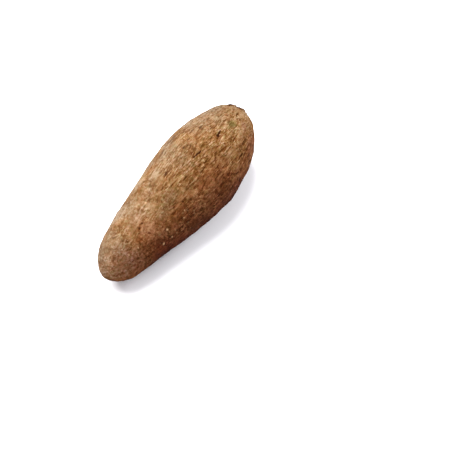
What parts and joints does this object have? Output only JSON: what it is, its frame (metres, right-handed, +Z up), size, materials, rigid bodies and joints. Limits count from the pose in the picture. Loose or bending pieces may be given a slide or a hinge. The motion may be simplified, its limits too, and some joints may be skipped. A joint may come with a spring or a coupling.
{
  "type": "yam tuber",
  "caption": "Whole yam tuber lying on its side, long and club-shaped, tapering from a fat crown to a blunt tail, with a bark-like brown skin.",
  "frame": {"origin": "middle of the tuber's box, on the surface that it lies on", "axes": "+X along the tuber from its tail to its crown, +Z up from the surface, +Y across"},
  "size_m": [0.2498, 0.0958, 0.0869],
  "materials": {
    "skin": "dry, matt, corky bark: tan to brown, with fine streaks, cracks and flecks"
  },
  "bodies": {
    "root": {"tuber": "skin"}
  },
  "joints": []
}
